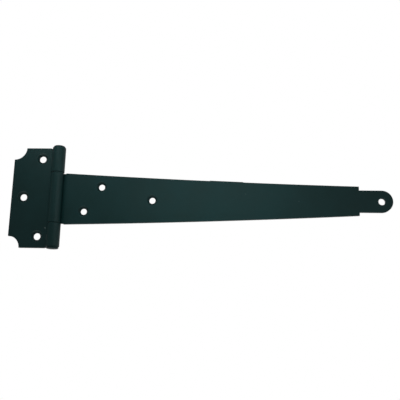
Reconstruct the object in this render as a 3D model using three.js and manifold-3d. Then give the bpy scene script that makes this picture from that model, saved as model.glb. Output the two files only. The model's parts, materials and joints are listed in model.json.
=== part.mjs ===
// Tee hinge of painted sheet steel: a cross plate for the post, a long tapering strap for the gate,
// and one riveted pin through three curled knuckles.
// Millimetres, +Z up. +X runs towards the strap's tip and -Y is the front, the side with the barrel.
// Both mounting faces lie on y = 0. The origin is on the cross plate's mounting face, at mid-height.

import Module from 'manifold-3d';
import * as THREE from 'three';
import { mergeVertices } from 'three/addons/utils/BufferGeometryUtils.js';

// Sheet, barrel and pin
const sheetThickness = 3;
const boreRadius = 3;
const barrelRadius = boreRadius + sheetThickness;
const runningClearance = 0.05;
const pinRadius = boreRadius - runningClearance;
const pinX = 18;
const pinY = -barrelRadius;
const knuckleGap = 0.5;
const lipAngle = THREE.MathUtils.degToRad(12);

// Cross plate
const plateHalfHeight = 46.25;
const plateReach = 42.1;
const cutOutReach = 7.2;
const scallopRadius = 10.9;
const lowerScallopRadius = 10.5;
const plateHoleRadius = 3.1;
const plateHoles = [
  { reach: 16.15, height: 35.9 },
  { reach: 31.4, height: 0 },
  { reach: 16.15, height: -35.9 },
];

// Strap, measured from the pin's axis and from its own centre line
const strapCentre = -1.05;
const knuckleHalfLength = 22.95;
const neckReach = 7.3;
const rootHalfWidth = 23.5;
const shoulderReach = 270.6;
const shoulderHalfWidth = 13.05;
const shoulderRise = 0.3;
const edgeSag = 1.05;
const tongueHalfWidth = 9.85;
const tipReach = 300;
const strapHoleRadius = 2.8;
const strapHoles = [
  { reach: 24.9, height: -11.65 },
  { reach: 40.3, height: 10.95 },
  { reach: 86.9, height: -0.9 },
];
const tongueHole = { reach: 290.3, height: -0.2 };
const tongueHoleRadius = 3.05;

// Screw holes are countersunk at 90 degrees from the front
const countersinkDepth = 1.95;
const cutterOverrun = 1;

// Pin ends: a formed head under the barrel and a riveted dome on top
const headGap = 0.1;
const headRadius = 5.4;
const headHeight = 1.2;
const rivetRadius = 5.2;
const rivetHeight = 1.3;

const arcSegments = 64;
const holeSegments = 32;
const cornerSegments = 12;
const lapLength = 1;

const wasm = await Module();
wasm.setup();

const frontY = -sheetThickness;

function solidOf(geometry) {
  const bare = geometry.clone();
  bare.deleteAttribute('normal');
  bare.deleteAttribute('uv');
  const merged = mergeVertices(bare, 1e-4);
  const mesh = new wasm.Mesh({
    numProp: 3,
    vertProperties: new Float32Array(merged.attributes.position.array),
    triVerts: new Uint32Array(merged.index.array),
  });
  return new wasm.Manifold(mesh);
}

function geometryOf(solid) {
  const mesh = solid.getMesh();
  const geometry = new THREE.BufferGeometry();
  geometry.setAttribute('position', new THREE.BufferAttribute(mesh.vertProperties, 3));
  geometry.setIndex(new THREE.BufferAttribute(mesh.triVerts, 1));
  geometry.computeVertexNormals();
  return geometry;
}

function painted(name, solid, color, roughness) {
  const material = new THREE.MeshStandardMaterial({ color, roughness, metalness: 0 });
  const mesh = new THREE.Mesh(geometryOf(solid), material);
  mesh.name = name;
  return mesh;
}

// A point at a given angle round the pin, in the section across it
function onCircle(radius, angle) {
  return new THREE.Vector2(radius * Math.cos(angle), radius * Math.sin(angle));
}

// Section of a leaf and its curl, across the pin and about its axis. The sheet passes behind the
// pin, wraps round the far side and over the front, and stops short of its own face at the lip.
// side is 1 for a leaf that leaves towards +X and -1 for one that leaves towards -X.
function curlSection(side, reach) {
  const behind = Math.PI / 2;
  const lip = 2 * Math.PI - lipAngle;
  const points = [new THREE.Vector2(reach, barrelRadius)];
  for (let i = 0; i <= arcSegments; i++) {
    points.push(onCircle(barrelRadius, THREE.MathUtils.lerp(behind, lip, i / arcSegments)));
  }
  for (let i = 0; i <= arcSegments; i++) {
    points.push(onCircle(boreRadius, THREE.MathUtils.lerp(lip, behind, i / arcSegments)));
  }
  points.push(new THREE.Vector2(reach, boreRadius));
  for (const point of points) point.x *= side;
  return new THREE.Shape(points);
}

function knuckle(side, reach, low, high) {
  const geometry = new THREE.ExtrudeGeometry(curlSection(side, reach), {
    depth: high - low,
    bevelEnabled: false,
  });
  geometry.translate(pinX, pinY, low);
  return solidOf(geometry);
}

// A flat leaf from its outline in X and Z, between the front face and y = 0
function leaf(outline) {
  const geometry = new THREE.ExtrudeGeometry(outline, {
    depth: sheetThickness,
    bevelEnabled: false,
    curveSegments: cornerSegments,
  });
  geometry.rotateX(Math.PI / 2);
  return solidOf(geometry);
}

function turnedCutter(profile, x, z) {
  const geometry = new THREE.LatheGeometry(profile, holeSegments);
  geometry.translate(x, 0, z);
  return solidOf(geometry);
}

function countersunkHole(radius, x, z) {
  const mouth = radius + countersinkDepth + cutterOverrun;
  const profile = [
    new THREE.Vector2(0, frontY - cutterOverrun),
    new THREE.Vector2(mouth, frontY - cutterOverrun),
    new THREE.Vector2(radius, frontY + countersinkDepth),
    new THREE.Vector2(radius, cutterOverrun),
    new THREE.Vector2(0, cutterOverrun),
  ];
  return turnedCutter(profile, x, z);
}

function plainHole(radius, x, z) {
  const profile = [
    new THREE.Vector2(0, frontY - cutterOverrun),
    new THREE.Vector2(radius, frontY - cutterOverrun),
    new THREE.Vector2(radius, cutterOverrun),
    new THREE.Vector2(0, cutterOverrun),
  ];
  return turnedCutter(profile, x, z);
}

// Cross plate: hollow-cut outer corners, a knuckle at each end, and a cut-out between them
function crossPlate() {
  const left = pinX - plateReach;
  const right = pinX - cutOutReach;
  const outline = new THREE.Shape();
  outline.moveTo(left + lowerScallopRadius, -plateHalfHeight);
  outline.lineTo(right, -plateHalfHeight);
  outline.lineTo(right, plateHalfHeight);
  outline.lineTo(left + scallopRadius, plateHalfHeight);
  outline.absarc(left, plateHalfHeight, scallopRadius, 0, -Math.PI / 2, true);
  outline.lineTo(left, lowerScallopRadius - plateHalfHeight);
  outline.absarc(left, -plateHalfHeight, lowerScallopRadius, Math.PI / 2, 0, true);

  const reach = cutOutReach + lapLength;
  const cutOutHalf = knuckleHalfLength + knuckleGap;
  let solid = leaf(outline);
  solid = solid.add(knuckle(-1, reach, strapCentre + cutOutHalf, plateHalfHeight));
  solid = solid.add(knuckle(-1, reach, -plateHalfHeight, strapCentre - cutOutHalf));
  for (const hole of plateHoles) {
    solid = solid.subtract(countersunkHole(plateHoleRadius, pinX - hole.reach, hole.height));
  }
  return solid;
}

// Strap: one knuckle, a taper to square shoulders, and a round-ended tongue
function strap() {
  const root = pinX + neckReach;
  const shoulder = pinX + shoulderReach;
  const middle = (root + shoulder) / 2;
  const shoulderCentre = strapCentre + shoulderRise;
  const middleCentre = strapCentre + shoulderRise / 2 - 2 * edgeSag;
  const middleHalfWidth = (rootHalfWidth + shoulderHalfWidth) / 2;
  const tongueEnd = pinX + tipReach - tongueHalfWidth;
  const tongueTop = strapCentre + tongueHalfWidth;
  const tongueBottom = strapCentre - tongueHalfWidth;
  const shoulderTop = shoulderCentre + shoulderHalfWidth;
  const shoulderBottom = shoulderCentre - shoulderHalfWidth;
  const outline = new THREE.Shape();
  outline.moveTo(root, strapCentre - rootHalfWidth);
  outline.quadraticCurveTo(middle, middleCentre - middleHalfWidth, shoulder, shoulderBottom);
  outline.lineTo(shoulder, tongueBottom);
  outline.lineTo(tongueEnd, tongueBottom);
  outline.absarc(tongueEnd, strapCentre, tongueHalfWidth, -Math.PI / 2, Math.PI / 2, false);
  outline.lineTo(shoulder, tongueTop);
  outline.lineTo(shoulder, shoulderTop);
  outline.quadraticCurveTo(middle, middleCentre + middleHalfWidth, root, strapCentre + rootHalfWidth);

  const reach = neckReach + lapLength;
  const low = strapCentre - knuckleHalfLength;
  const high = strapCentre + knuckleHalfLength;
  let solid = leaf(outline).add(knuckle(1, reach, low, high));
  for (const hole of strapHoles) {
    const x = pinX + hole.reach;
    solid = solid.subtract(countersunkHole(strapHoleRadius, x, strapCentre + hole.height));
  }
  const tongueCutter = plainHole(tongueHoleRadius, pinX + tongueHole.reach, strapCentre + tongueHole.height);
  return solid.subtract(tongueCutter);
}

// Pin: turned about Z, with its head below the barrel and its riveted end on top
function pin() {
  const headTop = -plateHalfHeight - headGap;
  const headBottom = headTop - headHeight;
  const rivetBottom = plateHalfHeight + headGap;
  const profile = [
    new THREE.Vector2(0, headBottom),
    new THREE.Vector2(0.72 * headRadius, headBottom),
    new THREE.Vector2(0.92 * headRadius, headBottom + 0.2 * headHeight),
    new THREE.Vector2(headRadius, headBottom + 0.6 * headHeight),
    new THREE.Vector2(headRadius, headTop),
    new THREE.Vector2(pinRadius, headTop),
    new THREE.Vector2(pinRadius, rivetBottom),
    new THREE.Vector2(rivetRadius, rivetBottom),
    new THREE.Vector2(rivetRadius, rivetBottom + 0.2 * rivetHeight),
    new THREE.Vector2(0.86 * rivetRadius, rivetBottom + 0.64 * rivetHeight),
    new THREE.Vector2(0.5 * rivetRadius, rivetBottom + 0.93 * rivetHeight),
    new THREE.Vector2(0, rivetBottom + rivetHeight),
  ];
  const geometry = new THREE.LatheGeometry(profile, arcSegments);
  geometry.rotateX(Math.PI / 2);
  geometry.translate(pinX, pinY, 0);
  return solidOf(geometry);
}

const hinge = new THREE.Group();
hinge.add(painted('cross_plate', crossPlate(), 0x1b302f, 0.42));
hinge.add(painted('strap', strap(), 0x1d3332, 0.4));
hinge.add(painted('pin', pin(), 0x1b302f, 0.45));

export default hinge;
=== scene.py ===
import json
import math
import bmesh
import bpy
from mathutils import Matrix, Vector


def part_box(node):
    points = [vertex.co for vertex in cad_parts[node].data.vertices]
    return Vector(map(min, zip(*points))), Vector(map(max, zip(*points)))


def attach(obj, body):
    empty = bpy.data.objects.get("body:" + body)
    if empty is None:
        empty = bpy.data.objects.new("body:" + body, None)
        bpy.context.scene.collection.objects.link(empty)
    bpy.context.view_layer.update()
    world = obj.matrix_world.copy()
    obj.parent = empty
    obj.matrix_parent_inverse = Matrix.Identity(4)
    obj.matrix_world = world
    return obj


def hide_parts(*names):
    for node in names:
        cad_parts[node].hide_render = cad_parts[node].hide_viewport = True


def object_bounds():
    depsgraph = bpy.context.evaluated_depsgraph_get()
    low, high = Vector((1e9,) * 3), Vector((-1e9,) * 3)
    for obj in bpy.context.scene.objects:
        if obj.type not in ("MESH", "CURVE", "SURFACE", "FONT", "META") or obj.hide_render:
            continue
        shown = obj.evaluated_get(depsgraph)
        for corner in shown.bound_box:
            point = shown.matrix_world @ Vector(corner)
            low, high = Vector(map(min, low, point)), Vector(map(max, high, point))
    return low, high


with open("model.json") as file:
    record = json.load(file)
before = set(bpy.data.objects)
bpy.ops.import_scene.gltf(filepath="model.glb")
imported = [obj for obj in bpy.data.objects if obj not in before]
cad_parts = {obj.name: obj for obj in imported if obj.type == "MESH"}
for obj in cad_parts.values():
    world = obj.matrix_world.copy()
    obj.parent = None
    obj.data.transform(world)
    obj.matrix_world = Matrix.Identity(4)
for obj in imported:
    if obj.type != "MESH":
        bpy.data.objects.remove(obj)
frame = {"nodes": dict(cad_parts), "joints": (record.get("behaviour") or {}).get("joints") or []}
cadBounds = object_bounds()
print("frame loaded:", sorted(frame["nodes"]))

mm = 0.001
touch = 1e-6                                    # places closer than this are taken as one
facing = 0.9                                    # share of a normal along an axis, for a face across it
sharpAngle = math.radians(20)
pinPoint = Vector(frame["joints"][0]["pos_m"])  # on the hinge's axis, at mid-height
scene = bpy.context.scene


def lineTo(bm, vert, x, z):
    corner = bmesh.ops.extrude_vert_indiv(bm, verts=[vert])["verts"][0]
    corner.co = Vector((x, vert.co.y, z))
    return corner


def arcTo(bm, vert, centreX, centreZ, turn, steps):
    # a positive turn goes from +Z towards +X
    swept = bmesh.ops.spin(
        bm, geom=[vert], cent=(centreX, vert.co.y, centreZ), axis=(0, 1, 0), angle=turn, steps=steps
    )
    return [v for v in swept["geom_last"] if isinstance(v, bmesh.types.BMVert)][0]


def vertsOf(items):
    return [item for item in items if isinstance(item, bmesh.types.BMVert)]


def edgesOf(items):
    return [item for item in items if isinstance(item, bmesh.types.BMEdge)]


def holeRim(bm, hole, radius, y):
    place = Matrix.Translation((hole.x, y, hole.z)) @ Matrix.Rotation(math.radians(90), 4, "X")
    rim = bmesh.ops.create_circle(
        bm, cap_ends=False, segments=sheet["holeSteps"], radius=radius, matrix=place
    )
    return list(dict.fromkeys(edge for vert in rim["verts"] for edge in vert.link_edges))


def drawBack(bm, edges, y, hole=None, scale=1.0):
    # the edges go back through the sheet to y, and a hole's rim is scaled about its centre on the way
    drawn = bmesh.ops.extrude_edge_only(bm, edges=edges)["geom"]
    for vert in vertsOf(drawn):
        vert.co.y = y
    if hole is not None:
        bmesh.ops.scale(
            bm, vec=(scale, 1, scale), space=Matrix.Translation((-hole.x, 0, -hole.z)), verts=vertsOf(drawn)
        )
    return edgesOf(drawn)


def smoothRegion(face):
    # every face that is reached from this one without crossing a sharp edge
    region, waiting = {face: True}, [face]
    while waiting:
        for edge in waiting.pop().edges:
            if edge.calc_face_angle(math.pi) > sharpAngle:
                continue
            for other in edge.link_faces:
                if other not in region:
                    region[other] = True
                    waiting.append(other)
    return list(region)


sheet = {
    "frontY": -3 * mm,
    "backY": 0.0,
    "holeSteps": 64,
    "curlSteps": 84,
    "lip": math.radians(12),        # the curl's end stops this far short of level with the pin
    "edgeBand": 0.65 * mm,
    "rollOver": 0.45 * mm,          # rounding of a punched edge under its paint
    "rimRound": 0.14 * mm,
    "roundSteps": 3,
    "rimReach": 0.1 * mm,           # an edge this close to a hole's rim belongs to the hole
    "skin": 0.02 * mm,              # a point this close to the barrel's radius lies on its outside
    "endDepth": 1.6 * mm,           # the curl is pressed in over this length at each end of the barrel
    "endCuts": (1.0, 0.66),         # where it's cut into rings for that, as shares of the length
    "endDrop": 0.95 * mm,           # how far in it goes at the very end
    "endFade": math.radians(60),    # it grows to that over this much of the curl, from the back round
    "toneReach": 0.2 * mm,          # how far from a countersink's rim the painted highlight over it goes
    "sunkFrom": 0.3 * mm,           # depths between which a point lies on a countersink's wall
    "sunkTo": 2.2 * mm,
    "sinkShadeShare": 0.55,               # share of the painted shade at the sides of a countersink
    "sinkShadeTilt": 0.5,                # this much more of it at the bottom, and less at the top
}


def makeLeaf(name, outline, holes, side, pressedEnds=()):
    # outline draws the edge of the flat leaf, holes are (centre, rim radius, bore radius, sink), side
    # says which way the leaf runs from the pin (1 for +X, -1 for -X), and pressedEnds are the heights
    # of the barrel ends whose curl is pressed in
    bm = bmesh.new()
    outline(bm)
    edgeLoop = bm.edges[:]
    rims = [holeRim(bm, centre, rim, sheet["frontY"]) for centre, rim, bore, sink in holes]
    bmesh.ops.triangle_fill(bm, use_beauty=True, edges=bm.edges[:], normal=(0, -1, 0))

    backEdges = drawBack(bm, edgeLoop, sheet["backY"])
    for rimEdges, (centre, rim, bore, sink) in zip(rims, holes):
        if sink > 0:
            rimEdges = drawBack(bm, rimEdges, sheet["frontY"] + sink, centre, bore / rim)
        backEdges += drawBack(bm, rimEdges, sheet["backY"])
    bmesh.ops.triangle_fill(bm, use_beauty=True, edges=backEdges, normal=(0, 1, 0))
    bmesh.ops.recalc_face_normals(bm, faces=bm.faces[:])

    # each tab's end face is rolled round the pin, as the sheet was
    ends = [
        face for face in bm.faces
        if abs(face.calc_center_median().x - pinPoint.x) < touch and abs(face.normal.x) > facing
    ]
    for end in ends:
        bmesh.ops.spin(
            bm, geom=[end, *end.edges, *end.verts], cent=pinPoint, axis=(0, 0, 1),
            angle=side * (math.radians(270) - sheet["lip"]), steps=sheet["curlSteps"],
        )
    bmesh.ops.remove_doubles(bm, verts=bm.verts[:], dist=0.1 * touch)
    bmesh.ops.recalc_face_normals(bm, faces=bm.faces[:])

    # a narrow band beside every edge keeps its rounding clean
    for y in (sheet["frontY"], sheet["backY"]):
        flat = [
            face for face in bm.faces
            if abs(face.calc_center_median().y - y) < touch and abs(face.normal.y) > facing
        ]
        widest = max(flat, key=lambda face: face.calc_area())
        bmesh.ops.inset_region(
            bm, faces=smoothRegion(widest), thickness=sheet["edgeBand"],
            use_boundary=True, use_even_offset=True,
        )
    for endZ in pressedEnds:
        pressBarrelEnd(bm, endZ)
    roundEdges(bm, holes)
    shadeHoles(bm, holes)
    return finishMesh(name, bm)


def onBarrel(vert):
    across = math.hypot(vert.co.x - pinPoint.x, vert.co.y - pinPoint.y)
    roundPin = vert.co.x > pinPoint.x or vert.co.y < pinPoint.y
    return roundPin and abs(across + pinPoint.y) < sheet["skin"]


def pressBarrelEnd(bm, endZ):
    inward = -1 if endZ > 0 else 1
    for share in sheet["endCuts"]:
        skin = [face for face in bm.faces if all(onBarrel(vert) for vert in face.verts)]
        around = dict.fromkeys(item for face in skin for item in (*face.edges, *face.verts))
        cutZ = endZ + inward * share * sheet["endDepth"]
        bmesh.ops.bisect_plane(
            bm, geom=[*skin, *around], dist=touch, plane_co=(0, 0, cutZ), plane_no=(0, 0, 1)
        )
    ring = [vert for vert in bm.verts if onBarrel(vert) and abs(vert.co.z - endZ) < sheet["endDepth"]]
    for vert in ring:
        along = 1 - abs(vert.co.z - endZ) / sheet["endDepth"]
        turn = math.atan2(vert.co.x - pinPoint.x, vert.co.y - pinPoint.y) % math.radians(360)
        fade = min(turn / sheet["endFade"], 1)
        fade = fade * fade * (3 - 2 * fade)
        drop = sheet["endDrop"] * (1 - math.sqrt(1 - along * along)) * fade
        shrink = 1 + drop / pinPoint.y
        vert.co.x = pinPoint.x + shrink * (vert.co.x - pinPoint.x)
        vert.co.y = pinPoint.y + shrink * (vert.co.y - pinPoint.y)


def roundEdges(bm, holes):
    sharp = [edge for edge in bm.edges if edge.is_manifold and edge.calc_face_angle(0) > sharpAngle]
    atHole = [edge for edge in sharp if any(nearHole(edge, hole) for hole in holes)]
    onLeaf = [edge for edge in sharp if edge not in atHole]
    wear = bm.verts.layers.float.new("wear")
    for edges, offset in ((atHole, sheet["rimRound"]), (onLeaf, sheet["rollOver"])):
        rounded = bmesh.ops.bevel(
            bm, geom=edges, offset=offset, offset_type="OFFSET", affect="EDGES",
            segments=sheet["roundSteps"], profile=0.5, material=-1, clamp_overlap=True,
        )
        for vert in rounded["verts"]:
            vert[wear] = 1.0


def nearHole(edge, hole):
    centre, rim, bore, sink = hole
    middle = (edge.verts[0].co + edge.verts[1].co) / 2
    return math.hypot(middle.x - centre.x, middle.z - centre.z) < rim + sheet["rimReach"]


def shadeHoles(bm, holes):
    # painted shade and a painted highlight, fixed into the paint: darker in each countersink, most of all
    # on its lower side, and paler over its upper rim
    sinkShade = bm.verts.layers.float.new("sinkShade")
    rimHighlight = bm.verts.layers.float.new("rimHighlight")
    for vert in bm.verts:
        depth = vert.co.y - sheet["frontY"]
        for centre, rim, bore, sink in holes:
            outwards = vert.co - centre
            away = math.hypot(outwards.x, outwards.z)
            if sink == 0 or away > rim + sheet["toneReach"]:
                continue
            upwards = outwards.z / away
            if abs(depth) < sheet["toneReach"]:
                vert[rimHighlight] = max(upwards, 0) ** 3
            if sheet["sunkFrom"] < depth < sheet["sunkTo"]:
                vert[sinkShade] = min(sheet["sinkShadeShare"] - sheet["sinkShadeTilt"] * upwards, 1)


def finishMesh(name, bm):
    openEdges = sum(not edge.is_manifold for edge in bm.edges)
    mesh = bpy.data.meshes.new(name)
    bm.to_mesh(mesh)
    bm.free()
    mesh.shade_smooth()
    piece = bpy.data.objects.new(name, mesh)
    scene.collection.objects.link(piece)
    weights = piece.modifiers.new("evenShading", "WEIGHTED_NORMAL")
    weights.keep_sharp = True
    print(name, "faces:", len(mesh.polygons), "open edges:", openEdges)
    return piece


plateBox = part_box("cross_plate")
crossPlate = {
    "left": plateBox[0].x,
    "top": plateBox[1].z,
    "bottom": plateBox[0].z,
    "cutOut": 7.2 * mm,             # from the pin's axis to the edge between the two knuckles
    "scallop": 10.9 * mm,
    "lowerScallop": 10.5 * mm,
    "scallopSteps": 20,
    "nickReach": 7.0 * mm,          # a small relief beside each end of the barrel
    "nickWidth": 1.4 * mm,
    "nickDepth": 0.4 * mm,
    "nickSlope": 0.42 * mm,
    "bore": 3.1 * mm,
    "sink": 1.95 * mm,
    "holes": ((16.15 * mm, 35.9 * mm), (31.4 * mm, 0.0), (16.15 * mm, -35.9 * mm)),
}

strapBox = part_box("strap")
strapLeaf = {
    "tip": strapBox[1].x,
    "rootTop": strapBox[1].z,
    "rootBottom": strapBox[0].z,
    "knuckleHalf": 22.95 * mm,
    "knuckleGap": 0.5 * mm,
    "neck": 7.3 * mm,
    "shoulder": 270.6 * mm,
    "shoulderHalf": 13.05 * mm,
    "shoulderRise": 0.3 * mm,
    "sag": 1.05 * mm,               # the long edges bow down by this much at mid-length
    "edgeSteps": 26,
    "tongueHalf": 9.85 * mm,
    "tipSteps": 40,
    "pressFrom": 138.0 * mm,        # stretch of the upper edge that stands slightly proud
    "pressTo": 168.6 * mm,
    "pressProud": 0.35 * mm,
    "pressRamp": 0.6 * mm,
    "pressClear": 1.5 * mm,         # no other point of the edge lies this close to its ends
    "bore": 2.8 * mm,
    "sink": 1.95 * mm,
    "holes": ((24.9 * mm, -11.65 * mm), (40.3 * mm, 10.95 * mm), (86.9 * mm, -0.9 * mm)),
    "tongueHole": (290.3 * mm, -0.2 * mm),
    "tongueBore": 3.05 * mm,
}
strapMiddle = (strapLeaf["rootTop"] + strapLeaf["rootBottom"]) / 2
cutOutTop = strapMiddle + strapLeaf["knuckleHalf"] + strapLeaf["knuckleGap"]
cutOutBottom = strapMiddle - strapLeaf["knuckleHalf"] - strapLeaf["knuckleGap"]


def plateOutline(bm):
    p = crossPlate
    cutOutX = pinPoint.x - p["cutOut"]
    nickInner = pinPoint.x - p["nickReach"]
    nickOuter = nickInner - p["nickWidth"]
    start = bm.verts.new((pinPoint.x, sheet["frontY"], p["top"]))
    at = lineTo(bm, start, nickInner, p["top"])
    at = lineTo(bm, at, nickInner - p["nickSlope"], p["top"] - p["nickDepth"])
    at = lineTo(bm, at, nickOuter + p["nickSlope"], p["top"] - p["nickDepth"])
    at = lineTo(bm, at, nickOuter, p["top"])
    at = lineTo(bm, at, p["left"] + p["scallop"], p["top"])
    at = arcTo(bm, at, p["left"], p["top"], math.radians(90), p["scallopSteps"])
    at = lineTo(bm, at, p["left"], p["bottom"] + p["lowerScallop"])
    at = arcTo(bm, at, p["left"], p["bottom"], math.radians(90), p["scallopSteps"])
    at = lineTo(bm, at, nickOuter, p["bottom"])
    at = lineTo(bm, at, nickOuter + p["nickSlope"], p["bottom"] + p["nickDepth"])
    at = lineTo(bm, at, nickInner - p["nickSlope"], p["bottom"] + p["nickDepth"])
    at = lineTo(bm, at, nickInner, p["bottom"])
    at = lineTo(bm, at, pinPoint.x, p["bottom"])
    at = lineTo(bm, at, pinPoint.x, cutOutBottom)
    at = lineTo(bm, at, cutOutX, cutOutBottom)
    at = lineTo(bm, at, cutOutX, cutOutTop)
    at = lineTo(bm, at, pinPoint.x, cutOutTop)
    bm.edges.new((at, start))


def plateHoles():
    p = crossPlate
    return [
        (Vector((pinPoint.x - reach, 0, height)), p["bore"] + p["sink"], p["bore"], p["sink"])
        for reach, height in p["holes"]
    ]


def strapOutline(bm):
    s = strapLeaf
    root = pinPoint.x + s["neck"]
    shoulder = pinPoint.x + s["shoulder"]
    tipCentre = s["tip"] - s["tongueHalf"]
    start = bm.verts.new((pinPoint.x, sheet["frontY"], strapMiddle - s["knuckleHalf"]))
    at = lineTo(bm, start, root, strapMiddle - s["knuckleHalf"])
    for x, z in longEdge(-1):
        at = lineTo(bm, at, x, z)
    at = lineTo(bm, at, shoulder, strapMiddle - s["tongueHalf"])
    at = lineTo(bm, at, tipCentre, strapMiddle - s["tongueHalf"])
    at = arcTo(bm, at, tipCentre, strapMiddle, math.radians(-180), s["tipSteps"])
    at = lineTo(bm, at, shoulder, strapMiddle + s["tongueHalf"])
    for x, z in reversed(longEdge(1)):
        at = lineTo(bm, at, x, z)
    at = lineTo(bm, at, root, strapMiddle + s["knuckleHalf"])
    at = lineTo(bm, at, pinPoint.x, strapMiddle + s["knuckleHalf"])
    bm.edges.new((at, start))


def longEdge(side):
    # the points of the upper (1) or lower (-1) long edge, from the root to the shoulder
    s = strapLeaf
    run = s["shoulder"] - s["neck"]
    reaches = [s["neck"] + run * step / s["edgeSteps"] for step in range(s["edgeSteps"] + 1)]
    rises = (s["pressFrom"] + s["pressRamp"], s["pressTo"] - s["pressRamp"])
    if side == 1:
        ends = (s["pressFrom"], *rises, s["pressTo"])
        reaches = [r for r in reaches if min(abs(r - end) for end in ends) > s["pressClear"]]
        reaches = sorted(reaches + list(ends))
    points = []
    for reach in reaches:
        along = (reach - s["neck"]) / run
        half = s["rootTop"] - strapMiddle
        half += along * (s["shoulderHalf"] - half)
        middle = strapMiddle + along * s["shoulderRise"] - 4 * s["sag"] * along * (1 - along)
        proud = s["pressProud"] if side == 1 and rises[0] <= reach <= rises[1] else 0
        points.append((pinPoint.x + reach, middle + side * half + proud))
    return points


def strapHoles():
    s = strapLeaf
    holes = [
        (
            Vector((pinPoint.x + reach, 0, strapMiddle + height)),
            s["bore"] + s["sink"], s["bore"], s["sink"],
        )
        for reach, height in s["holes"]
    ]
    reach, height = s["tongueHole"]
    tongue = Vector((pinPoint.x + reach, 0, strapMiddle + height))
    return holes + [(tongue, s["tongueBore"], s["tongueBore"], 0)]


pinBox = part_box("pin")
pin = {
    "bottom": pinBox[0].z,
    "top": pinBox[1].z,
    "shank": 2.95 * mm,
    "head": (pinBox[1].x - pinBox[0].x) / 2,
    "headTop": plateBox[0].z - 0.02 * mm,       # both ends stand just clear of the barrel
    "rivet": 5.2 * mm,
    "rivetBottom": plateBox[1].z + 0.02 * mm,
    "endWear": 0.5,
    "steps": 72,
}


def makePin():
    p = pin
    bm = bmesh.new()
    at = bm.verts.new((pinPoint.x, pinPoint.y, p["bottom"]))
    bow = p["headTop"] - p["bottom"]
    dome = p["top"] - p["rivetBottom"]
    profile = (
        (0.70 * p["head"], p["bottom"] + 0.02 * bow),
        (0.88 * p["head"], p["bottom"] + 0.16 * bow),
        (0.97 * p["head"], p["bottom"] + 0.38 * bow),
        (p["head"], p["bottom"] + 0.62 * bow),
        (0.985 * p["head"], p["headTop"] - 0.1 * bow),
        (0.95 * p["head"], p["headTop"]),
        (p["shank"], p["headTop"]),
        (p["shank"], p["rivetBottom"]),
        (0.95 * p["rivet"], p["rivetBottom"]),
        (p["rivet"], p["rivetBottom"] + 0.12 * dome),
        (0.97 * p["rivet"], p["rivetBottom"] + 0.36 * dome),
        (0.86 * p["rivet"], p["rivetBottom"] + 0.64 * dome),
        (0.64 * p["rivet"], p["rivetBottom"] + 0.86 * dome),
        (0.34 * p["rivet"], p["rivetBottom"] + 0.97 * dome),
    )
    for radius, z in profile:
        at = lineTo(bm, at, pinPoint.x + radius, z)
        at.co.y = pinPoint.y
    lineTo(bm, at, pinPoint.x, p["top"]).co.y = pinPoint.y
    bmesh.ops.spin(
        bm, geom=bm.verts[:] + bm.edges[:], cent=pinPoint, axis=(0, 0, 1), angle=math.radians(360),
        steps=p["steps"], use_merge=True,
    )
    bmesh.ops.remove_doubles(bm, verts=bm.verts[:], dist=touch)
    bmesh.ops.recalc_face_normals(bm, faces=bm.faces[:])
    wear = bm.verts.layers.float.new("wear")
    for vert in bm.verts:
        outside = vert.co.z > p["rivetBottom"] or vert.co.z < p["headTop"]
        vert[wear] = p["endWear"] if outside else 0.0
    return finishMesh("pinBody", bm)


plateEnds = (crossPlate["top"], crossPlate["bottom"])
plateLeaf = makeLeaf("crossPlateLeaf", plateOutline, plateHoles(), -1, plateEnds)
strapSheet = makeLeaf("strapSheet", strapOutline, strapHoles(), 1)
pinBody = makePin()


paint = {
    "thin": (0.0052, 0.0572, 0.0582, 1),
    "full": (0.0034, 0.0480, 0.0472, 1),
    "edge": (0.0180, 0.0800, 0.0780, 1),
    # pale paint for the specks, and also the colour of the painted highlight over the countersinks' upper
    # rims
    "pale": (0.30, 0.42, 0.40, 1),
    # colour of the painted shade in the countersinks
    "sinkShadeColour": (0.0012, 0.0160, 0.0160, 1),
    "roughness": (0.42, 0.50),
    "mottleScale": 42,
    "mottleSpread": (0.33, 0.67),   # stretch of the noise that goes from full paint to thin
    "wearScale": 160,
    "wearFrom": 0.55,
    "wearGain": 3.0,
    "peelScale": 900,
    "peelBump": 0.10,
    "peelDepth": 0.1 * mm,
    "waveScale": 28,
    "waveBump": 0.20,
    "waveDepth": 0.4 * mm,
    "speckCore": 0.4,               # share of a speck's radius that has its full strength
}


def addNode(tree, kind, inputs=None, **settings):
    node = tree.nodes.new(kind)
    for key, value in settings.items():
        setattr(node, key, value)
    for key, value in (inputs or {}).items():
        node.inputs[key].default_value = value
    return node


def noise(tree, place, scale, detail, roughness=0.5):
    inputs = {"Scale": scale, "Detail": detail, "Roughness": roughness}
    node = addNode(tree, "ShaderNodeTexNoise", inputs)
    tree.links.new(place, node.inputs["Vector"])
    return node.outputs["Fac"]


def ramp(tree, value, fromMin, fromMax, toMin=0.0, toMax=1.0):
    inputs = {"From Min": fromMin, "From Max": fromMax, "To Min": toMin, "To Max": toMax}
    node = addNode(tree, "ShaderNodeMapRange", inputs)
    tree.links.new(value, node.inputs["Value"])
    return node.outputs["Result"]


def calculate(tree, operation, first, second, clamp=False):
    # second is a number or a node's output
    node = addNode(tree, "ShaderNodeMath", operation=operation, use_clamp=clamp)
    tree.links.new(first, node.inputs[0])
    if isinstance(second, float):
        node.inputs[1].default_value = second
    else:
        tree.links.new(second, node.inputs[1])
    return node.outputs[0]


def mixIn(tree, base, over, share):
    # base is a colour or a node's output, over is a colour
    node = addNode(tree, "ShaderNodeMix", data_type="RGBA")
    node.inputs["B"].default_value = over
    if isinstance(base, tuple):
        node.inputs["A"].default_value = base
    else:
        tree.links.new(base, node.inputs["A"])
    tree.links.new(share, node.inputs["Factor"])
    return node.outputs["Result"]


def marked(tree, name):
    return addNode(tree, "ShaderNodeAttribute", attribute_name=name).outputs["Fac"]


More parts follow.
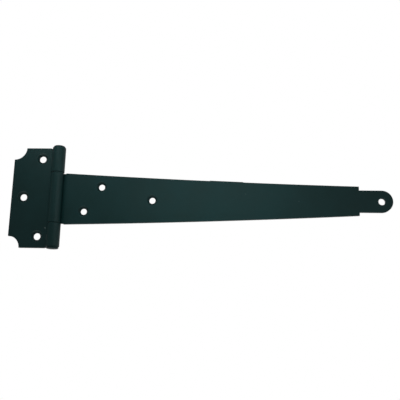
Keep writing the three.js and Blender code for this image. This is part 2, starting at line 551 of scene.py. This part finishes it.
def satinPaint(name, seed, rimHighlightShare, specks):
    material = bpy.data.materials.new(name)
    material.use_nodes = True
    tree = material.node_tree
    shader = tree.nodes["Principled BSDF"]
    shader.inputs["IOR"].default_value = 1.5
    coords = addNode(tree, "ShaderNodeTexCoord").outputs["Object"]
    mapping = addNode(tree, "ShaderNodeMapping", {"Location": (seed, 0.3 * seed, 0.7 * seed)})
    tree.links.new(coords, mapping.inputs["Vector"])
    place = mapping.outputs["Vector"]

    mottle = noise(tree, place, paint["mottleScale"], 4.0, 0.55)
    colour = mixIn(tree, paint["full"], paint["thin"], ramp(tree, mottle, *paint["mottleSpread"]))
    colour = wornEdges(tree, place, colour)
    # painted shade in the countersinks, most of all on their lower sides
    colour = mixIn(tree, colour, paint["sinkShadeColour"], marked(tree, "sinkShade"))
    # painted highlight over each countersink's upper rim
    rim = calculate(tree, "MULTIPLY", marked(tree, "rimHighlight"), rimHighlightShare)
    colour = mixIn(tree, colour, paint["pale"], rim)
    for speck in specks:
        colour = addSpeck(tree, coords, colour, *speck)
    tree.links.new(colour, shader.inputs["Base Color"])

    gloss = ramp(tree, mottle, 0.0, 1.0, *paint["roughness"])
    tree.links.new(gloss, shader.inputs["Roughness"])
    tree.links.new(paintBump(tree, place), shader.inputs["Normal"])
    return material


def wornEdges(tree, place, colour):
    # the paint is thinner in patches along the rounded edges
    patch = noise(tree, place, paint["wearScale"], 3.0)
    patch = calculate(tree, "SUBTRACT", patch, paint["wearFrom"])
    patch = calculate(tree, "MULTIPLY", patch, paint["wearGain"], clamp=True)
    return mixIn(tree, colour, paint["edge"], calculate(tree, "MULTIPLY", patch, marked(tree, "wear")))


def addSpeck(tree, coords, colour, x, z, radius, strength):
    away = addNode(tree, "ShaderNodeVectorMath", {1: (x, sheet["frontY"], z)}, operation="DISTANCE")
    tree.links.new(coords, away.inputs[0])
    share = ramp(tree, away.outputs["Value"], radius, paint["speckCore"] * radius, 0.0, strength)
    return mixIn(tree, colour, paint["pale"], share)


def paintBump(tree, place):
    # the sheet's slight waves, and the paint's orange peel on top of them
    wave = addNode(tree, "ShaderNodeBump", {"Strength": paint["waveBump"], "Distance": paint["waveDepth"]})
    tree.links.new(noise(tree, place, paint["waveScale"], 1.0), wave.inputs["Height"])
    peel = addNode(tree, "ShaderNodeBump", {"Strength": paint["peelBump"], "Distance": paint["peelDepth"]})
    tree.links.new(noise(tree, place, paint["peelScale"], 2.0), peel.inputs["Height"])
    tree.links.new(wave.outputs["Normal"], peel.inputs["Normal"])
    return peel.outputs["Normal"]


# x, z, radius and strength of the small pale specks in the paint
plateSpecks = ((9.2 * mm, -28.2 * mm, 0.9 * mm, 0.6),)
strapSpecks = ((235.7 * mm, -1.6 * mm, 0.7 * mm, 0.15), (188.6 * mm, 4.6 * mm, 0.7 * mm, 0.12))
# each piece's sixth value is the strength of the painted highlight over its countersinks' upper rims
for piece, node, body, slot, seed, rimHighlightShare, specks in (
    (plateLeaf, "cross_plate", "cross_plate", "plate_paint", 0.0, 0.3, plateSpecks),
    (strapSheet, "strap", "strap", "strap_paint", 1.7, 0.14, strapSpecks),
    (pinBody, "pin", "cross_plate", "pin_paint", 3.1, 0.0, ()),
):
    piece.data.materials.append(satinPaint(slot, seed, rimHighlightShare, specks))
    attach(piece, body)
    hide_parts(node)
print("pieces painted and placed")


stage = {
    "floorDrop": 0.62,
    "floorRadius": 2.4,
    "floorColour": (0.86, 0.86, 0.86, 1),
    "floorGrain": (0.8342, 0.8342, 0.8342, 1),
    "front": 0.141,                 # how bright the room is on the object's front side
    "behind": 0.484,
    "between": (-0.1, 0.9),         # it changes from one to the other as rays turn from -Y to +Y
}
lamps = {
    # place, target, width and height, power, and whether the paint's colour and its sheen see it
    "sheenLight": ((0.150, -0.15, 0.045), (0.150, 0.0, 0.0), (0.18, 0.07), 0.0262, False, True),
    "tipSheen": ((0.37, -0.30, 0.066), (0.30, 0.0, 0.0), (0.16, 0.10), 0.0155, False, True),
    "plateLight": ((0.015, -0.10, 0.11), (0.01, 0.0, 0.045), (0.06, 0.04), 0.0235, True, False),
    "plateSheen": ((0.0, -0.10, 0.09), (0.01, 0.0, 0.045), (0.08, 0.05), 0.0105, False, True),
    "sideLight": ((1.5, -0.3, 0.1), (0.018, -0.006, 0.0), (0.8, 0.8), 0.42, True, True),
    "floorLight": ((0.15, 0.0, -0.2), (0.15, 0.001, -1.0), (5.0, 5.0), 60.0, True, False),
}
spot = {
    "place": (0.166, -0.9, 0.45),
    "target": (0.166, 0.0, 0.0),
    "reach": 0.165,
    "radius": 0.1,
    "power": 12.1,
}
cameraLook = {
    "azimuth": 3.29,
    "elevation": -12.46,
    "roll": 1.26,
    "distance": 0.5365,
    "lens": 54.0,
    "shiftX": 1.0 * mm,             # the aim lies this far from the object's middle
    "shiftZ": -0.2 * mm,
}
middleX = (cadBounds[0].x + cadBounds[1].x) / 2
aim = Vector((middleX + cameraLook["shiftX"], sheet["frontY"], strapMiddle + cameraLook["shiftZ"]))


def fromAround(target, azimuth, elevation, distance):
    # azimuth 0 is straight in front, on the -Y side, and positive goes towards +X
    a, e = math.radians(azimuth), math.radians(elevation)
    return target + distance * Vector((math.sin(a) * math.cos(e), -math.cos(a) * math.cos(e), math.sin(e)))


def lookAt(thing, place, target, roll=0.0):
    turn = (target - place).to_track_quat("-Z", "Y").to_matrix().to_4x4()
    thing.matrix_world = Matrix.Translation(place) @ turn @ Matrix.Rotation(math.radians(roll), 4, "Z")


def makeFloor():
    bm = bmesh.new()
    bmesh.ops.create_circle(
        bm, cap_ends=True, segments=96, radius=stage["floorRadius"],
        matrix=Matrix.Translation((aim.x, 0, cadBounds[0].z - stage["floorDrop"])),
    )
    mesh = bpy.data.meshes.new("floor")
    bm.to_mesh(mesh)
    bm.free()
    floor = bpy.data.objects.new("floor", mesh)
    scene.collection.objects.link(floor)
    material = bpy.data.materials.new("palePaper")
    material.use_nodes = True
    tree = material.node_tree
    shader = tree.nodes["Principled BSDF"]
    shader.inputs["Roughness"].default_value = 0.9
    grain = addNode(tree, "ShaderNodeTexNoise", {"Scale": 30.0, "Detail": 3.0})
    tone = mixIn(tree, stage["floorColour"], stage["floorGrain"], grain.outputs["Fac"])
    tree.links.new(tone, shader.inputs["Base Color"])
    mesh.materials.append(material)
    floor.visible_diffuse = False
    floor.visible_glossy = False


def makeRoom():
    world = bpy.data.worlds.new("whiteRoom")
    scene.world = world
    world.use_nodes = True
    tree = world.node_tree
    room = tree.nodes["Background"]
    coords = addNode(tree, "ShaderNodeTexCoord")
    split = addNode(tree, "ShaderNodeSeparateXYZ")
    tree.links.new(coords.outputs["Generated"], split.inputs[0])
    glow = ramp(tree, split.outputs["Y"], *stage["between"], stage["front"], stage["behind"])
    tree.links.new(glow, room.inputs["Strength"])
    room.inputs["Color"].default_value = (1, 1, 1, 1)
    backdrop = addNode(tree, "ShaderNodeBackground", {"Color": (1, 1, 1, 1), "Strength": 1.0})
    rays = addNode(tree, "ShaderNodeLightPath")
    mix = addNode(tree, "ShaderNodeMixShader")
    tree.links.new(rays.outputs["Is Camera Ray"], mix.inputs[0])
    tree.links.new(room.outputs[0], mix.inputs[1])
    tree.links.new(backdrop.outputs[0], mix.inputs[2])
    tree.links.new(mix.outputs[0], tree.nodes["World Output"].inputs["Surface"])


def placeLamp(name, data, place, target, diffuse, sheen):
    lamp = bpy.data.objects.new(name, data)
    lamp.visible_camera = False
    lamp.visible_diffuse = diffuse
    lamp.visible_glossy = sheen
    scene.collection.objects.link(lamp)
    lookAt(lamp, Vector(place), Vector(target))


def makeLamps():
    for name, (place, target, size, power, diffuse, sheen) in lamps.items():
        data = bpy.data.lights.new(name, "AREA")
        data.shape = "RECTANGLE"
        data.size, data.size_y = size
        data.energy = power
        placeLamp(name, data, place, target, diffuse, sheen)


def makeSpot():
    # a soft pool of light on the middle of the strap
    data = bpy.data.lights.new("spotLight", "SPOT")
    distance = (Vector(spot["target"]) - Vector(spot["place"])).length
    data.spot_size = 2 * math.atan(spot["reach"] / distance)
    data.spot_blend = 1.0
    data.shadow_soft_size = spot["radius"]
    data.energy = spot["power"]
    placeLamp("spotLight", data, spot["place"], spot["target"], True, False)


def makeCamera():
    data = bpy.data.cameras.new("camera")
    data.lens = cameraLook["lens"]
    data.sensor_width = 36.0
    data.clip_start = 0.01
    camera = bpy.data.objects.new("camera", data)
    scene.collection.objects.link(camera)
    place = fromAround(aim, cameraLook["azimuth"], cameraLook["elevation"], cameraLook["distance"])
    lookAt(camera, place, aim, cameraLook["roll"])
    scene.camera = camera


makeFloor()
makeRoom()
makeLamps()
makeSpot()
makeCamera()
scene.view_settings.view_transform = "Standard"
print("stage, light and camera set")
